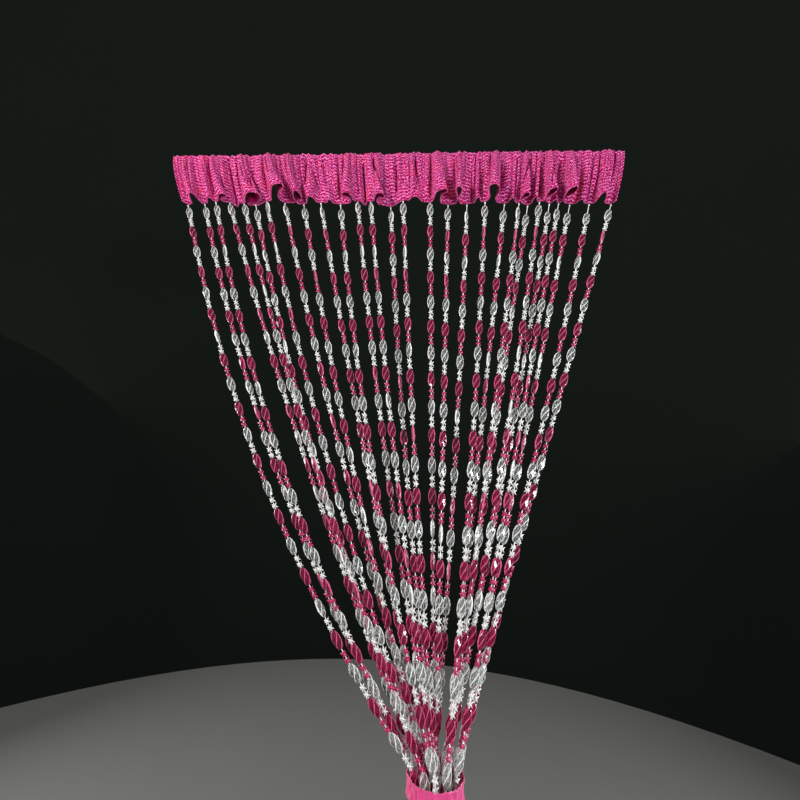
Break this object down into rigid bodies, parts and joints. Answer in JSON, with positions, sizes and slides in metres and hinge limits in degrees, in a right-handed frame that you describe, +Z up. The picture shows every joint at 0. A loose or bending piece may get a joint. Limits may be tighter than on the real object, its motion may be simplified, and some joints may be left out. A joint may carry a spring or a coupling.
{
  "type": "bead curtain",
  "caption": "String curtain of faceted oval and star beads on a ruffled cloth heading, its strands leaning in to a tie and hanging from there as a bundle.",
  "frame": {"origin": "middle of the heading's top edge, where the curtain hangs", "axes": "+Z up, +X to the right seen from the front, -Y towards the viewer"},
  "size_m": [0.9855, 0.086, 1.9676],
  "materials": {
    "heading_cloth": "glossy woven",
    "beads": "clear, white and pink acrylic",
    "tie_band": "satin"
  },
  "bodies": {
    "root": {"heading": "heading_cloth", "strands": "beads", "tie": "tie_band"}
  },
  "joints": []
}
